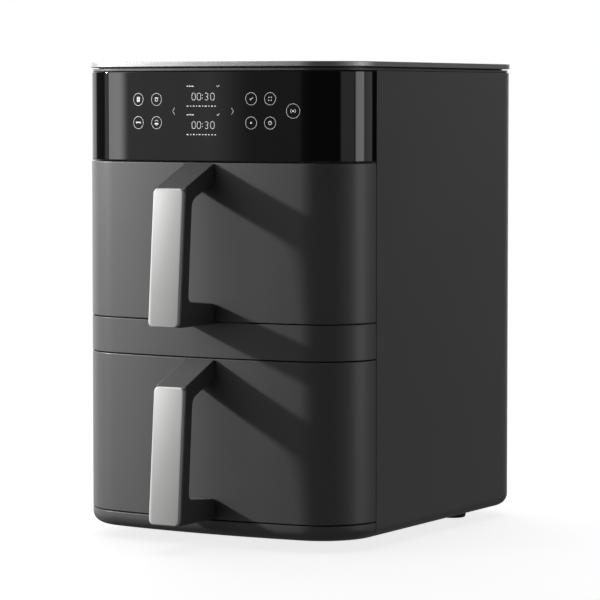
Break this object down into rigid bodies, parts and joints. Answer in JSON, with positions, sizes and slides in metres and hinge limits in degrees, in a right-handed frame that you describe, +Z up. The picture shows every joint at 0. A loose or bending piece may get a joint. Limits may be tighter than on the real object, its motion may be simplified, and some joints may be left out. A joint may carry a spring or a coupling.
{
  "type": "dual drawer air fryer",
  "caption": "Upright air fryer with stacked pull-out drawers, bar handles, a gloss touch panel, a metal top rim and rear fans behind each cavity.",
  "frame": {"origin": "bottom centre of the bounding box with both drawers closed, handles included, on the plane the feet rest on", "axes": "+X to the viewer's right facing the front, the front and its handles face -Y, +Z up"},
  "size_m": [0.2814, 0.4085, 0.4165],
  "materials": {
    "body_plastic": "fine matte dark grey",
    "inner_plastic": "matte black",
    "handle_plastic": "satin black",
    "panel_glass": "gloss black backed glass",
    "trim_metal": "brushed",
    "handle_cover": "satin light grey",
    "sheet_steel": "plain pressed sheet",
    "pan_coating": "dark non-stick coating",
    "heater_steel": "heat-darkened",
    "motor_steel": "plain",
    "circuit_board": "satin green",
    "display_module": "gloss",
    "switch_plastic": "matte",
    "screw_steel": "plain",
    "rubber": "matte",
    "silicone": "matte"
  },
  "bodies": {
    "housing": {"outer_shell": "body_plastic", "base_pan": "inner_plastic", "base_front_band": "body_plastic", "front_frame": "sheet_steel", "top_cover": "body_plastic", "top_trim_ring": "trim_metal", "control_glass": "panel_glass", "panel_carrier": "inner_plastic", "control_board": "circuit_board", "upper_display": "display_module", "lower_display": "display_module", "electronics_shelf": "sheet_steel", "power_board": "circuit_board", "middle_strip": "body_plastic", "upper_cavity_liner": "sheet_steel", "lower_cavity_liner": "sheet_steel", "upper_fan_guard": "sheet_steel", "lower_fan_guard": "sheet_steel", "upper_heating_element": "heater_steel", "lower_heating_element": "heater_steel", "upper_heater_housing": "sheet_steel", "lower_heater_housing": "sheet_steel", "upper_fan_motor": "motor_steel", "lower_fan_motor": "motor_steel", "upper_interlock_switch": "switch_plastic", "lower_interlock_switch": "switch_plastic", "upper_rear_vent": "inner_plastic", "lower_rear_vent": "inner_plastic", "cord_gland": "rubber", "front_left_foot": "rubber", "front_right_foot": "rubber", "rear_left_foot": "rubber", "rear_right_foot": "rubber"},
    "upper_drawer": {"upper_drawer_front": "body_plastic", "upper_heat_shield": "sheet_steel", "upper_drawer_pan": "pan_coating", "upper_crisper_plate": "pan_coating", "upper_plate_bumper_1": "silicone", "upper_plate_bumper_2": "silicone", "upper_plate_bumper_3": "silicone", "upper_plate_bumper_4": "silicone", "upper_handle": "handle_plastic", "upper_handle_cover": "handle_cover", "upper_handle_top_screw": "screw_steel", "upper_handle_bottom_screw": "screw_steel"},
    "lower_drawer": {"lower_drawer_front": "body_plastic", "lower_heat_shield": "sheet_steel", "lower_drawer_pan": "pan_coating", "lower_crisper_plate": "pan_coating", "lower_plate_bumper_1": "silicone", "lower_plate_bumper_2": "silicone", "lower_plate_bumper_3": "silicone", "lower_plate_bumper_4": "silicone", "lower_handle": "handle_plastic", "lower_handle_cover": "handle_cover", "lower_handle_top_screw": "screw_steel", "lower_handle_bottom_screw": "screw_steel"},
    "upper_fan_rotor": {"upper_fan": "sheet_steel"},
    "lower_fan_rotor": {"lower_fan": "sheet_steel"}
  },
  "joints": [
    {"name": "upper_drawer_slide", "type": "slide", "parent": "housing", "child": "upper_drawer", "axis": [0, -1, 0], "range_m": [0, 0.24]},
    {"name": "lower_drawer_slide", "type": "slide", "parent": "housing", "child": "lower_drawer", "axis": [0, -1, 0], "range_m": [0, 0.24]},
    {"name": "upper_fan_spin", "type": "hinge", "parent": "housing", "child": "upper_fan_rotor", "pos_m": [0, 0.1253, 0.266], "axis": [0, 1, 0], "continuous": true},
    {"name": "lower_fan_spin", "type": "hinge", "parent": "housing", "child": "lower_fan_rotor", "pos_m": [0, 0.1253, 0.0983], "axis": [0, 1, 0], "continuous": true}
  ]
}
